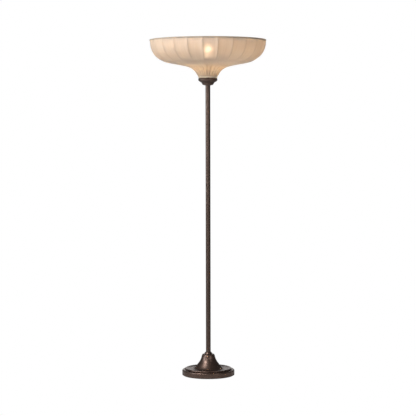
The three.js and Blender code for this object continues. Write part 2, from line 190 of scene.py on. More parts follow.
# ---- skins: arrays of points and faces ----
def skin(grid, closed_rows, edge=None, uv=None):
    """Faces for a grid of rows x columns points whose columns close round.

    The rows either close too (a shell or a ring), or the first and the last row are each one point (a solid
    that meets its own axis). The faces are turned round if the enclosed volume comes out negative.
    """
    rows, columns = grid.shape[:2]
    here = np.arange(columns)
    beside = np.roll(here, -1)
    if closed_rows:
        low, high = np.arange(rows), np.roll(np.arange(rows), -1)
        points, tips = grid.reshape(-1, 3), np.zeros((0, 3), int)
    else:
        low, high = np.arange(rows - 3), np.arange(1, rows - 2)
        points = np.concatenate([grid[1:-1].reshape(-1, 3), grid[0, :1], grid[-1, :1]])
        first, last = (rows - 2) * columns, (rows - 2) * columns + 1
        top = (rows - 3) * columns
        tips = np.concatenate([
            np.stack([np.full(columns, first), beside, here], axis=1),
            np.stack([np.full(columns, last), top + here, top + beside], axis=1),
        ])
    quads = np.stack([
        low[:, None] * columns + here, low[:, None] * columns + beside,
        high[:, None] * columns + beside, high[:, None] * columns + here,
    ], axis=-1).reshape(-1, 4)
    marks = None
    if edge is not None:
        marks = np.repeat(edge if closed_rows else edge[1:-1], columns)
        marks = marks if closed_rows else np.concatenate([marks, [0, 0]])
    corner_uv = None
    if uv is not None:
        u, v = uv
        u0, u1 = u[:-1], u[1:]
        v0, v1 = v[:-1, None], v[1:, None]
        flat = np.ones((rows, columns))
        corner_uv = np.stack([
            np.stack([flat * u0, flat * v0], -1), np.stack([flat * u1, flat * v0], -1),
            np.stack([flat * u1, flat * v1], -1), np.stack([flat * u0, flat * v1], -1),
        ], axis=2).reshape(-1, 4, 2)
    a, b, c, d = (points[quads[:, k]] for k in range(4))
    volume = np.einsum("ij,ij->", a, np.cross(b, c) + np.cross(c, d))
    if len(tips):
        e, f, g = (points[tips[:, k]] for k in range(3))
        volume += np.einsum("ij,ij->", e, np.cross(f, g))
    if volume < 0:
        quads, tips = quads[:, ::-1], tips[:, ::-1]
        corner_uv = None if corner_uv is None else corner_uv[:, ::-1]
    return {"points": points, "quads": quads, "tips": tips, "edge": marks, "uv": corner_uv}


def lathe(profile, columns=96, closed=True, ripple=None, wrap=False):
    """Carry each (radius, height) of a profile round +Z in even steps.

    ripple(angle, height, radius) is added to the radius, for threads and flutes. wrap lays a map on the
    surface, in metres: round the lamp, and along the profile.
    """
    p = np.asarray(profile, float)
    angle = np.arange(columns) * TURN / columns
    radius = np.repeat(p[:, :1], columns, axis=1)
    height = np.repeat(p[:, 1:], columns, axis=1)
    if ripple is not None:
        radius = radius + ripple(angle[None, :], height, radius)
    grid = np.stack([radius * np.sin(angle), -radius * np.cos(angle), height], axis=-1) * MM
    uv = None
    if wrap:
        run = np.linalg.norm(np.roll(p, -1, 0) - p, axis=1)
        uv = (np.arange(columns + 1) / columns * TURN * p[:, 0].max() * MM,
              np.concatenate([[0], np.cumsum(run)]) * MM)
    return skin(grid, closed, edge_of(p, closed), uv)


def wire(path, radius, across, sides=10, closed=False):
    """A round wire: a circle square to the path at each of its points.

    across is the direction square to the plane that the path lies in. An open wire ends in two half balls,
    a closed one joins up.
    """
    p = np.asarray(path, float)
    if closed:
        along = np.roll(p, -1, 0) - np.roll(p, 1, 0)
    else:
        along = np.gradient(p, axis=0)
    along /= np.linalg.norm(along, axis=1)[:, None]
    girth = np.full(len(p), float(radius))
    if not closed:
        swing = np.radians([90, 60, 30])
        p = np.concatenate([
            p[0] - along[0] * (radius * np.sin(swing))[:, None], p,
            p[-1] + along[-1] * (radius * np.sin(swing[::-1]))[:, None],
        ])
        girth = np.concatenate([radius * np.cos(swing), girth, radius * np.cos(swing[::-1])])
        along = np.concatenate([np.repeat(along[:1], 3, 0), along, np.repeat(along[-1:], 3, 0)])
    side = np.broadcast_to(np.asarray(across, float), p.shape)
    other = np.cross(along, side)
    angle = np.arange(sides) * TURN / sides
    out = np.cos(angle)[:, None] * side[:, None] + np.sin(angle)[:, None] * other[:, None]
    return skin((p[:, None] + girth[:, None, None] * out) * MM, closed)


def blob(centre, size, rows=7, columns=12):
    """A ball with three half-axes, for a bead of solder or a screw's dome."""
    rise = np.linspace(-math.pi / 2, math.pi / 2, rows)[:, None]
    angle = np.arange(columns)[None, :] * TURN / columns
    unit = np.stack([np.cos(rise) * np.cos(angle), np.cos(rise) * np.sin(angle),
                     np.sin(rise) * np.ones_like(angle)], axis=-1)
    return skin((np.asarray(centre, float) + unit * np.asarray(size, float)) * MM, False)


def turned_round(part, angle):
    """A copy turned about +Z."""
    c, s = math.cos(angle), math.sin(angle)
    return {**part, "points": part["points"] @ np.array([[c, s, 0], [-s, c, 0], [0, 0, 1.0]])}


def lying(part, axis, at):
    """A copy whose own +Z axis lies along +X or +Y, moved to a point given in millimetres."""
    x, y, z = part["points"].T
    laid = {"x": (z, y, -x), "y": (x, z, -y)}[axis]
    return {**part, "points": np.stack(laid, axis=1) + np.asarray(at, float) * MM}


def piece(name, skins, material, body, stands_for=None):
    """One mesh object out of one or more skins, smooth-shaded, riding on a body."""
    skins = [skins] if isinstance(skins, dict) else skins
    starts = np.cumsum([0] + [len(s["points"]) for s in skins[:-1]])
    points = np.concatenate([s["points"] for s in skins])
    quads = np.concatenate([s["quads"] + k for s, k in zip(skins, starts)])
    tips = np.concatenate([s["tips"] + k for s, k in zip(skins, starts)])
    mesh = bpy.data.meshes.new(name)
    mesh.from_pydata(points, [], quads.tolist() + tips.tolist())
    mesh.polygons.foreach_set("use_smooth", np.ones(len(mesh.polygons), bool))
    edge = np.concatenate([np.zeros(len(s["points"])) if s["edge"] is None else s["edge"] for s in skins])
    mesh.attributes.new("edge", "FLOAT", "POINT").data.foreach_set("value", edge.astype(np.float32))
    for mark, values in skins[0].get("marks", {}).items():
        mesh.attributes.new(mark, "FLOAT", "POINT").data.foreach_set("value", values.astype(np.float32))
    if skins[0]["uv"] is not None:
        mesh.uv_layers.new(name="cloth").data.foreach_set("uv", skins[0]["uv"].astype(np.float32).ravel())
    mesh.materials.append(material)
    made = bpy.data.objects.new(name, mesh)
    bpy.context.scene.collection.objects.link(made)
    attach(made, body)
    if stands_for:
        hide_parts(stands_for)
    return made


# ---- node helpers ----
def add(tree, kind, settings=None, **inputs):
    """A node with its settings, and its inputs set to values or joined to sockets (i0 is the first input)."""
    node = tree.nodes.new(kind)
    for key, value in (settings or {}).items():
        setattr(node, key, value)
    for key, value in inputs.items():
        numbered = key[0] == "i" and key[1:].isdigit()
        socket = node.inputs[int(key[1:])] if numbered else node.inputs[key.replace("_", " ")]
        if isinstance(value, bpy.types.NodeSocket):
            tree.links.new(value, socket)
        else:
            socket.default_value = value
    return node


def sum_of(tree, operation, *values):
    """The result of a Math node."""
    inputs = {f"i{k}": v for k, v in enumerate(values)}
    return add(tree, "ShaderNodeMath", {"operation": operation}, **inputs).outputs[0]


def blend_colours(tree, share, one, other, how="MIX"):
    """The colour between one and other, by a share from 0 to 1."""
    node = tree.nodes.new("ShaderNodeMix")
    node.data_type, node.blend_type, node.clamp_factor = "RGBA", how, True
    for index, value in ((0, share), (6, one), (7, other)):
        if isinstance(value, bpy.types.NodeSocket):
            tree.links.new(value, node.inputs[index])
        else:
            node.inputs[index].default_value = value if index == 0 else (*value, 1)[:4]
    return node.outputs[2]


def between(tree, value, low, high, to_low=0.0, to_high=1.0):
    """A value's range moved to another range, and held inside it."""
    node = add(tree, "ShaderNodeMapRange", {"clamp": True}, i1=low, i2=high, i3=to_low, i4=to_high)
    tree.links.new(value, node.inputs[0])
    return node.outputs[0]


def effect(name, inputs, outputs):
    """An empty node group with named inputs (name, kind, default) and outputs (name, kind)."""
    tree = bpy.data.node_groups.new(name, "ShaderNodeTree")
    for label, kind, default in inputs:
        socket = tree.interface.new_socket(label, in_out="INPUT", socket_type=f"NodeSocket{kind}")
        if default is not None:
            socket.default_value = default
    for label, kind in outputs:
        tree.interface.new_socket(label, in_out="OUTPUT", socket_type=f"NodeSocket{kind}")
    return tree, tree.nodes.new("NodeGroupInput"), tree.nodes.new("NodeGroupOutput")


def mottle_effect():
    """Cloudy light and dark: a coarse noise and a finer one added, then stretched by the contrast."""
    tree, given, result = effect(
        "mottle",
        [("Vector", "Vector", None), ("Scale", "Float", 40.0), ("Contrast", "Float", 1.5)],
        [("Mask", "Float")],
    )
    coarse = add(tree, "ShaderNodeTexNoise", None, Vector=given.outputs[0], Scale=given.outputs[1], Detail=4.0)
    finer = add(tree, "ShaderNodeTexNoise", None, Vector=given.outputs[0], Detail=3.0,
                Scale=sum_of(tree, "MULTIPLY", given.outputs[1], 5.3))
    mixed = sum_of(tree, "MULTIPLY_ADD", finer.outputs[0], 0.35, sum_of(tree, "MULTIPLY", coarse.outputs[0], 0.65))
    spread = sum_of(tree, "MULTIPLY_ADD", sum_of(tree, "SUBTRACT", mixed, 0.5), given.outputs[2], 0.5)
    tree.links.new(between(tree, spread, 0, 1), result.inputs[0])
    return tree


def grain_effect():
    """A fine, even grain for bump: one high noise on a second, coarser swell."""
    tree, given, result = effect(
        "fine_grain",
        [("Vector", "Vector", None), ("Scale", "Float", 900.0), ("Swell", "Float", 60.0)],
        [("Height", "Float")],
    )
    grain = add(tree, "ShaderNodeTexNoise", None, Vector=given.outputs[0], Scale=given.outputs[1], Detail=2.0)
    swell = add(tree, "ShaderNodeTexNoise", None, Vector=given.outputs[0], Scale=given.outputs[2], Detail=1.0)
    both = sum_of(tree, "MULTIPLY_ADD", swell.outputs[0], 0.6, sum_of(tree, "MULTIPLY", grain.outputs[0], 0.4))
    tree.links.new(both, result.inputs[0])
    return tree


def rub_effect():
    """Wear on raised edges: the mesh's edge mark, broken up by a noise."""
    tree, given, result = effect(
        "edge_rub",
        [("Vector", "Vector", None), ("Scale", "Float", 120.0), ("Strength", "Float", 1.0)],
        [("Mask", "Float")],
    )
    edge = add(tree, "ShaderNodeAttribute", {"attribute_name": "edge"}).outputs["Fac"]
    patch = add(tree, "ShaderNodeTexNoise", None, Vector=given.outputs[0], Scale=given.outputs[1], Detail=3.0)
    broken = sum_of(tree, "MULTIPLY", edge, between(tree, patch.outputs[0], 0.38, 0.62))
    tree.links.new(between(tree, sum_of(tree, "MULTIPLY", broken, given.outputs[2]), 0, 1), result.inputs[0])
    return tree


def dust_effect():
    """Dust on faces that look up: the square of the normal's height, times a noise."""
    tree, given, result = effect(
        "settled_dust",
        [("Vector", "Vector", None), ("Scale", "Float", 70.0), ("Amount", "Float", 0.2)],
        [("Mask", "Float")],
    )
    normal = add(tree, "ShaderNodeNewGeometry").outputs["Normal"]
    rise = add(tree, "ShaderNodeSeparateXYZ", None, i0=normal).outputs[2]
    up = sum_of(tree, "POWER", between(tree, rise, 0, 1), 2.0)
    patch = add(tree, "ShaderNodeTexNoise", None, Vector=given.outputs[0], Scale=given.outputs[1], Detail=5.0)
    lying_on = sum_of(tree, "MULTIPLY", up, between(tree, patch.outputs[0], 0.3, 0.75))
    tree.links.new(sum_of(tree, "MULTIPLY", lying_on, given.outputs[2]), result.inputs[0])
    return tree


def weave_effect():
    """Plain weave on a map in metres: the product of two sines, one along each thread direction."""
    tree, given, result = effect(
        "plain_weave",
        [("Vector", "Vector", None), ("Threads per metre", "Float", 1500.0)],
        [("Height", "Float")],
    )
    axes = add(tree, "ShaderNodeSeparateXYZ", None, i0=given.outputs[0])
    swing = sum_of(tree, "MULTIPLY", given.outputs[1], math.pi)
    across = sum_of(tree, "SINE", sum_of(tree, "MULTIPLY", axes.outputs[0], swing))
    along = sum_of(tree, "SINE", sum_of(tree, "MULTIPLY", axes.outputs[1], swing))
    crossed = sum_of(tree, "MULTIPLY", across, along)
    tree.links.new(sum_of(tree, "MULTIPLY_ADD", crossed, 0.5, 0.5), result.inputs[0])
    return tree


def slub_effect():
    """Uneven yarn: a noise drawn out long along the thread, on a map in metres."""
    tree, given, result = effect(
        "slub_yarn",
        [("Vector", "Vector", None), ("Per metre across", "Float", 260.0), ("Per metre along", "Float", 7.0)],
        [("Mask", "Float")],
    )
    drawn = add(tree, "ShaderNodeCombineXYZ", None, i0=given.outputs[1], i1=given.outputs[2], i2=1.0)
    stretched = add(tree, "ShaderNodeVectorMath", {"operation": "MULTIPLY"}, i0=given.outputs[0], i1=drawn.outputs[0])
    yarn = add(tree, "ShaderNodeTexNoise", None, Vector=stretched.outputs[0], Scale=1.0, Detail=3.0, Roughness=0.6)
    tree.links.new(between(tree, yarn.outputs[0], 0.3, 0.7), result.inputs[0])
    return tree


MOTTLE, GRAIN, RUB, DUST = mottle_effect(), grain_effect(), rub_effect(), dust_effect()
WEAVE, SLUB = weave_effect(), slub_effect()


def use(tree, group, **inputs):
    """One of the effects above, placed in a material; its first output."""
    return add(tree, "ShaderNodeGroup", {"node_tree": group}, **inputs).outputs[0]


def new_material(name):
    """A material with its Principled shader, and its tree and shader."""
    material = bpy.data.materials.new(name)
    material.use_nodes = True
    tree = material.node_tree
    return material, tree, tree.nodes["Principled BSDF"]


def own_place(tree):
    """The object's own coordinates, in metres."""
    return add(tree, "ShaderNodeTexCoord").outputs["Object"]


def own_map(tree):
    """The map in metres that lathe() and make_cloth() lay on cloth and tape."""
    return add(tree, "ShaderNodeUVMap", {"uv_map": "cloth"}).outputs[0]


def bumped(tree, shader, height, strength, distance=0.0005):
    """Joins a height to the shader's normal."""
    bump = add(tree, "ShaderNodeBump", None, Strength=strength, Distance=distance, Height=height)
    tree.links.new(bump.outputs[0], shader.inputs["Normal"])


# ---- finishes ----
def metal(name, dark, light, rough, metallic=1.0, mottle=(40.0, 1.6), rubbed=None, rub=0.0, dust=0.0,
          grain=900.0, bump=0.08, coat=0.0, coat_rough=0.2, soft=0.35):
    """A metal finish: two tones clouded together, bright or dull where edges are rubbed, dust on top faces."""
    material, tree, shader = new_material(name)
    place = own_place(tree)
    cloud = use(tree, MOTTLE, Vector=place, Scale=mottle[0], Contrast=mottle[1])
    colour = blend_colours(tree, cloud, dark, light)
    if rubbed:
        colour = blend_colours(tree, use(tree, RUB, Vector=place, Strength=rub), colour, rubbed)
    if dust:
        colour = blend_colours(tree, use(tree, DUST, Vector=place, Amount=dust), colour, (0.33, 0.29, 0.25))
    tree.links.new(colour, shader.inputs["Base Color"])
    dullness = between(tree, cloud, 0, 1, rough * (1 + soft / 2), rough * (1 - soft / 2))
    tree.links.new(dullness, shader.inputs["Roughness"])
    shader.inputs["Metallic"].default_value = metallic
    shader.inputs["Coat Weight"].default_value = coat
    shader.inputs["Coat Roughness"].default_value = coat_rough
    bumped(tree, shader, use(tree, GRAIN, Vector=place, Scale=grain), bump)
    return material


def moulded(name, colour, rough, grain=700.0, bump=0.12, rub=0.3, sheen=0.0):
    """Moulded plastic, rubber or board: a close grain, a faint cloud, and edges rubbed a little lighter."""
    material, tree, shader = new_material(name)
    place = own_place(tree)
    cloud = use(tree, MOTTLE, Vector=place, Scale=90.0, Contrast=1.2)
    low = tuple(0.86 * c for c in colour)
    tone = blend_colours(tree, cloud, low, colour)
    paler = tuple(min(1.0, 1.5 * c + 0.03) for c in colour)
    tone = blend_colours(tree, use(tree, RUB, Vector=place, Strength=rub), tone, paler)
    tree.links.new(tone, shader.inputs["Base Color"])
    tree.links.new(between(tree, cloud, 0, 1, rough * 1.1, rough * 0.9), shader.inputs["Roughness"])
    shader.inputs["Sheen Weight"].default_value = sheen
    bumped(tree, shader, use(tree, GRAIN, Vector=place, Scale=grain), bump)
    return material


def shade_cloth_finish():
    """Thin crinkled cloth: warm cream, tan in the gathers (partly denser cloth, partly painted shade), painted shade
    in the fold valleys, with slubby yarn, and light coming through.

    The Principled cloth is mixed with a Translucent shader, and the share CLOTH_GAPS of the light passes
    straight between the threads. Less light is let through the belly, which is painted shade.
    """
    material, tree, shader = new_material("shade_cloth_finish")
    weave_map = own_map(tree)
    slub = use(tree, SLUB, Vector=weave_map, **{"Per metre across": 210.0, "Per metre along": 6.0})
    broad = use(tree, SLUB, Vector=weave_map, **{"Per metre across": 34.0, "Per metre along": 3.0})
    gather = add(tree, "ShaderNodeAttribute", {"attribute_name": "gather"}).outputs["Fac"]
    fold_shade = add(tree, "ShaderNodeAttribute", {"attribute_name": "fold_shade"}).outputs["Fac"]
    seam = add(tree, "ShaderNodeAttribute", {"attribute_name": "seam"}).outputs["Fac"]
    under = add(tree, "ShaderNodeAttribute", {"attribute_name": "under"}).outputs["Fac"]
    colour = blend_colours(tree, slub, CLOTH_SHADOW, CLOTH_LIGHT)
    colour = blend_colours(tree, between(tree, broad, 0, 1, 0, 0.35), colour, CLOTH_WARM)
    # Tan in the gathers: partly the denser gathered cloth, partly painted shade of the neck.
    colour = blend_colours(tree, between(tree, gather, 0, 1, 0, 0.75), colour, CLOTH_GATHER_SHADE)
    # Painted shade: the cloth is darkened in the valleys between the neck's folds.
    colour = blend_colours(tree, between(tree, fold_shade, 0, 1, 0, 0.45), colour, CLOTH_FOLD_SHADE)
    colour = blend_colours(tree, between(tree, seam, 0, 1, 0, 0.2), colour, CLOTH_WARM)
    tree.links.new(colour, shader.inputs["Base Color"])
    tree.links.new(between(tree, slub, 0, 1, 0.78, 0.92), shader.inputs["Roughness"])
    shader.inputs["Sheen Weight"].default_value = 0.15
    shader.inputs["Sheen Roughness"].default_value = 0.5
    shader.inputs["Specular IOR Level"].default_value = 0.25
    weave = use(tree, WEAVE, Vector=weave_map)
    height = sum_of(tree, "MULTIPLY_ADD", slub, 0.7, sum_of(tree, "MULTIPLY", weave, 0.3))
    bump = add(tree, "ShaderNodeBump", None, Strength=0.35, Distance=0.0006, Height=height)
    tree.links.new(bump.outputs[0], shader.inputs["Normal"])
    layers_and_belly_shade = sum_of(tree, "MULTIPLY", between(tree, gather, 0, 1, 1.0, 0.72), between(tree, seam, 0, 1, 1.0, 0.86))
    # Painted shade: the light let through the belly, below the bulb, is cut further.
    layers_and_belly_shade = sum_of(tree, "MULTIPLY", layers_and_belly_shade, between(tree, under, 0, 1, 1.0, 0.62))
    thickness_and_shade = add(tree, "ShaderNodeCombineXYZ", None, i0=layers_and_belly_shade, i1=layers_and_belly_shade, i2=layers_and_belly_shade)
    passed = blend_colours(tree, 1.0, colour, thickness_and_shade.outputs[0], "MULTIPLY")
    passed = blend_colours(tree, 1.0, passed, CLOTH_PASSED, "MULTIPLY")
    through = add(tree, "ShaderNodeBsdfTranslucent", None, Color=passed, Normal=bump.outputs[0])
    lit = add(tree, "ShaderNodeMixShader", None, i0=CLOTH_THROUGH, i1=shader.outputs[0], i2=through.outputs[0])
    gaps = add(tree, "ShaderNodeBsdfTransparent")
    whole = add(tree, "ShaderNodeMixShader", None, i0=CLOTH_GAPS, i1=lit.outputs[0], i2=gaps.outputs[0])
    tree.links.new(whole.outputs[0], tree.nodes["Material Output"].inputs["Surface"])
    return material


def tape_finish(name, low, high, threads=900.0, through=0.0, rough=0.85, bump=0.5):
    """A woven tape or a hem: plain weave and slub on its own map, some of it with light coming through."""
    material, tree, shader = new_material(name)
    tape_map = own_map(tree)
    slub = use(tree, SLUB, Vector=tape_map, **{"Per metre across": 900.0, "Per metre along": 60.0})
    weave = use(tree, WEAVE, Vector=tape_map, **{"Threads per metre": threads})
    share = sum_of(tree, "MULTIPLY_ADD", slub, 0.6, sum_of(tree, "MULTIPLY", weave, 0.4))
    colour = blend_colours(tree, share, low, high)
    tree.links.new(colour, shader.inputs["Base Color"])
    tree.links.new(between(tree, slub, 0, 1, rough * 1.05, rough * 0.92), shader.inputs["Roughness"])
    shader.inputs["Sheen Weight"].default_value = 0.2
    bump_node = add(tree, "ShaderNodeBump", None, Strength=bump, Distance=0.0004, Height=weave)
    tree.links.new(bump_node.outputs[0], shader.inputs["Normal"])
    if through:
        glow = add(tree, "ShaderNodeBsdfTranslucent", None, Color=colour)
        lit = add(tree, "ShaderNodeMixShader", None, i0=through, i1=shader.outputs[0], i2=glow.outputs[0])
        tree.links.new(lit.outputs[0], tree.nodes["Material Output"].inputs["Surface"])
    return material


def felt_finish():
    """Black felt: short fibres as a fine, uneven noise, with sheen at grazing angles."""
    material, tree, shader = new_material("felt_finish")
    place = own_place(tree)
    fibres = use(tree, GRAIN, Vector=place, Scale=1800.0, Swell=240.0)
    cloud = use(tree, MOTTLE, Vector=place, Scale=60.0, Contrast=1.4)
    colour = blend_colours(tree, fibres, (0.010, 0.010, 0.010), (0.030, 0.028, 0.027))
    colour = blend_colours(tree, between(tree, cloud, 0, 1, 0, 0.4), colour, (0.016, 0.014, 0.013))
    tree.links.new(colour, shader.inputs["Base Color"])
    tree.links.new(between(tree, cloud, 0, 1, 0.9, 1.0), shader.inputs["Roughness"])
    shader.inputs["Sheen Weight"].default_value = 0.3
    bumped(tree, shader, fibres, 0.8, 0.001)
    return material


def glass_finish(name, tint, rough, seeds=0.02, glow=0.0):
    """Thin clear glass with a faint draw-out ripple. Shadow rays pass through it, so that lamps shine out.

    glow is the haze of a lit bulb's own glass.
    """
    material, tree, shader = new_material(name)
    place = own_place(tree)
    ripple = use(tree, GRAIN, Vector=place, Scale=300.0, Swell=45.0)
    colour = blend_colours(tree, use(tree, MOTTLE, Vector=place, Scale=25.0, Contrast=1.0), tint,
                           tuple(min(1.0, 1.03 * c) for c in tint))
    tree.links.new(colour, shader.inputs["Base Color"])
    tree.links.new(between(tree, ripple, 0.3, 0.7, rough, rough + 0.02), shader.inputs["Roughness"])
    shader.inputs["Transmission Weight"].default_value = 1.0
    shader.inputs["IOR"].default_value = 1.45
    shader.inputs["Emission Color"].default_value = (1.0, 0.66, 0.42, 1)
    shader.inputs["Emission Strength"].default_value = glow
    bumped(tree, shader, ripple, seeds)
    let_by = add(tree, "ShaderNodeBsdfTransparent")
    shadow = add(tree, "ShaderNodeLightPath").outputs["Is Shadow Ray"]
    mix = add(tree, "ShaderNodeMixShader", None, i0=shadow, i1=shader.outputs[0], i2=let_by.outputs[0])
    tree.links.new(mix.outputs[0], tree.nodes["Material Output"].inputs["Surface"])
    return material


def filament_finish():
    """A lit filament: phosphor grains that glow, dimmer at the two metal ends."""
    material, tree, shader = new_material("filament_finish")
    place = own_place(tree)
    grains = use(tree, MOTTLE, Vector=place, Scale=900.0, Contrast=1.6)
    along = add(tree, "ShaderNodeAttribute", {"attribute_name": "lit"}).outputs["Fac"]
    phosphor = blend_colours(tree, grains, (0.92, 0.60, 0.20), (1.0, 0.76, 0.36))
    glow = blend_colours(tree, grains, (1.0, 0.66, 0.30), (1.0, 0.76, 0.42))
    glow = blend_colours(tree, along, (0.05, 0.02, 0.005), glow)
    tree.links.new(phosphor, shader.inputs["Base Color"])
    tree.links.new(between(tree, grains, 0, 1, 0.5, 0.7), shader.inputs["Roughness"])
    tree.links.new(glow, shader.inputs["Emission Color"])
    shader.inputs["Emission Strength"].default_value = FILAMENT_GLOW
    return material


CLOTH_LIGHT = (0.85, 0.79, 0.715)
CLOTH_SHADOW = (0.77, 0.70, 0.62)
CLOTH_WARM = (0.79, 0.69, 0.57)
# Partly the denser cloth's tan, partly painted shade of the gathered neck.
CLOTH_GATHER_SHADE = (0.73, 0.61, 0.46)
# Painted shade for the valleys between the neck's folds.
CLOTH_FOLD_SHADE = (0.52, 0.39, 0.27)
CLOTH_PASSED = (0.90, 0.71, 0.50)
CLOTH_THROUGH = 0.36
CLOTH_GAPS = 0.24
FILAMENT_GLOW = 9.0

BRONZE_DARK, BRONZE_LIGHT, BRONZE_RUBBED = (0.128, 0.079, 0.061), (0.185, 0.122, 0.098), (0.26, 0.18, 0.15)
BRONZE = metal("antique_bronze", BRONZE_DARK, BRONZE_LIGHT, 0.40, 0.96, (24.0, 0.9), BRONZE_RUBBED, 0.2, 0.03,
               700.0, 0.01, 0.25, 0.32, 0.15)
POLE_BRONZE = metal("pole_bronze", (0.095, 0.062, 0.048), (0.155, 0.108, 0.087), 0.36, 0.96, (16.0, 1.2),
                    BRONZE_RUBBED, 0.3, 0.0, 900.0, 0.02, 0.25, 0.26)
CAP_BRONZE = metal("cap_bronze", (0.085, 0.054, 0.040), (0.21, 0.145, 0.115), 0.40, 0.9, (95.0, 2.2),
                   BRONZE_RUBBED, 0.4, 0.08, 600.0, 0.10, 0.2, 0.3)
IRON = metal("cast_iron", (0.045, 0.045, 0.047), (0.095, 0.094, 0.093), 0.75, 0.6, (60.0, 2.0),
             (0.3, 0.3, 0.3), 0.4, 0.1, 260.0, 0.6)
STEEL = metal("zinc_steel", (0.46, 0.46, 0.44), (0.62, 0.62, 0.60), 0.32, 1.0, (120.0, 1.8),
              (0.75, 0.75, 0.74), 0.5, 0.0, 800.0, 0.08)
BRASS = metal("socket_brass", (0.50, 0.33, 0.12), (0.66, 0.46, 0.19), 0.28, 1.0, (110.0, 1.6),
              (0.82, 0.64, 0.34), 0.6, 0.06, 900.0, 0.06)
NICKEL = metal("bulb_nickel", (0.52, 0.49, 0.44), (0.66, 0.63, 0.58), 0.25, 1.0, (150.0, 1.4),
               (0.8, 0.78, 0.74), 0.5, 0.0, 900.0, 0.05)
WIRE_PAINT = metal("frame_wire_paint", (0.66, 0.60, 0.50), (0.80, 0.75, 0.66), 0.45, 0.15, (200.0, 1.5),
                   (0.55, 0.5, 0.42), 0.5, 0.05, 700.0, 0.12)
BLACK = moulded("black_plastic", (0.018, 0.018, 0.020), 0.42)
RED = moulded("red_plastic", (0.24, 0.05, 0.022), 0.45)
RUBBER = moulded("black_rubber", (0.014, 0.014, 0.014), 0.78, 500.0, 0.25)
BROWN_JACKET = moulded("brown_jacket", (0.030, 0.018, 0.010), 0.55)
WHITE_JACKET = moulded("white_jacket", (0.72, 0.70, 0.64), 0.5)
BLACK_GLASS = moulded("black_glass", (0.008, 0.008, 0.011), 0.12, 400.0, 0.03, 0.1)
GREEN_BOARD = moulded("green_board", (0.03, 0.11, 0.05), 0.4)
FELT = felt_finish()
SHADE_CLOTH = shade_cloth_finish()
RIM_TAPE = tape_finish("rim_tape", (0.60, 0.50, 0.38), (0.76, 0.66, 0.53), through=0.4)
NECK_TAPE = tape_finish("neck_tape", (0.90, 0.82, 0.70), (0.96, 0.91, 0.82), through=0.5)
BULB_GLASS = glass_finish("bulb_glass_clear", (0.97, 0.965, 0.95), 0.0, glow=1.3)
STEM_GLASS = glass_finish("stem_glass_clear", (0.95, 0.96, 0.95), 0.02, 0.05)
FILAMENT = filament_finish()


# ---- base ----
def make_base():
    """Felt, lower tier, upper tier with its lip, dish and bell, the collar at the pole, and the bush."""
    disc = softened([(0, 0), (FELT_RADIUS, 0), (FELT_RADIUS, 2), (0, 2)], 0.6, 4, False)
    felt = piece("base_felt", lathe(disc, 128, False), FELT, "stand", "felt_pad")
    plinth = softened(
        [(BASE_RADIUS, 3), (BASE_RADIUS, PLINTH_TOP - 0.2), (100, PLINTH_TOP), (100, PLINTH_TOP - 2),
         (BASE_RADIUS - 2, PLINTH_TOP - 2.2), (BASE_RADIUS - 2, 3)],
        np.array([0.7, 6.0, 0.6, 0.6, 4.0, 0.7]), 8)
    piece("base_lower_tier", lathe(plinth, 192), BRONZE, "stand", "base_plinth")

    lip = flowing([(118, 31), (121.2, 30.9), (123.3, 32.0), (123.9, 34.7), (122.9, 37.4),
                   (119.8, 38.9), (115, 38.0)], 6)
    dish = flowing([(115, 38.0), (107, 35.6), (98, 34.3), (88, 34.8), (80, 37.4), (73.5, 41.6), (69, 45.8),
                    (61, 54.6), (54, 63.4), (47.4, 72.0), (41.8, 81.7), (37.4, 93), (34.8, 104.2)], 7)
    shoulder = softened([(34.8, 104.2), (33.4, 105.2), (33.0, 109.0), (30.2, 112.6),
                         (5.3, POLE_FOOT - 0.3), (5.3, 111.5)],
                        np.array([0.4, 0.8, 2.6, 2.6, 0.4, 0.4]), 6, False)
    within = inset(dish[::4], 2.0)[::-1]
    shell = np.concatenate([lip[:-1], dish[:-1], shoulder, [(26.5, 111.3), (30.2, 108.4)], within[2:-1],
                            [(114.5, 34.9), (117.0, 33.9)]])
    piece("base_upper_tier", lathe(shell, 192), BRONZE, "stand", "base_dome")

    bore = POLE_RADIUS + 0.3
    collar = np.concatenate([
        softened([(bore, POLE_FOOT + 11.1), (bore, POLE_FOOT), (20.2, POLE_FOOT), (20.9, POLE_FOOT + 1.9),
                  (19.3, POLE_FOOT + 4.9)], 0.5, 5, False)[:-1],
        flowing([(19.3, POLE_FOOT + 4.9), (16.4, POLE_FOOT + 8.3), (14.3, POLE_FOOT + 10.5),
                 (bore, POLE_FOOT + 11.1)], 6)[:-1]])
    piece("pole_foot_collar", lathe(collar, 96), BRONZE, "stand", "pole_collar")

    bush = softened([(3.2, -4.5), (6.5, -4.5), (6.5, -2.6), (4.6, -2.6), (4.6, 0.3), (7, 0.3),
                     (6.4, 2.2), (3.2, 2.2)], 0.45)
    piece("lead_hole_bush", lying(lathe(bush, 48), "y", (0, BASE_RADIUS, LEAD_HEIGHT)), RUBBER, "stand", "lead_bush")


# ---- pole ----
def make_pole():
    """Three tubes, each as long as its CAD piece."""
    for section in ("lower_tube", "middle_tube", "upper_tube"):
        low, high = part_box(section)
        foot, head = low[2] / MM, high[2] / MM
        wall = softened([(POLE_RADIUS - POLE_WALL, foot), (POLE_RADIUS, foot), (POLE_RADIUS, head),
                         (POLE_RADIUS - POLE_WALL, head)], 0.3, 4)
        piece(f"pole_{section}", lathe(stepped(wall, 24), 72), POLE_BRONZE, "stand", section)


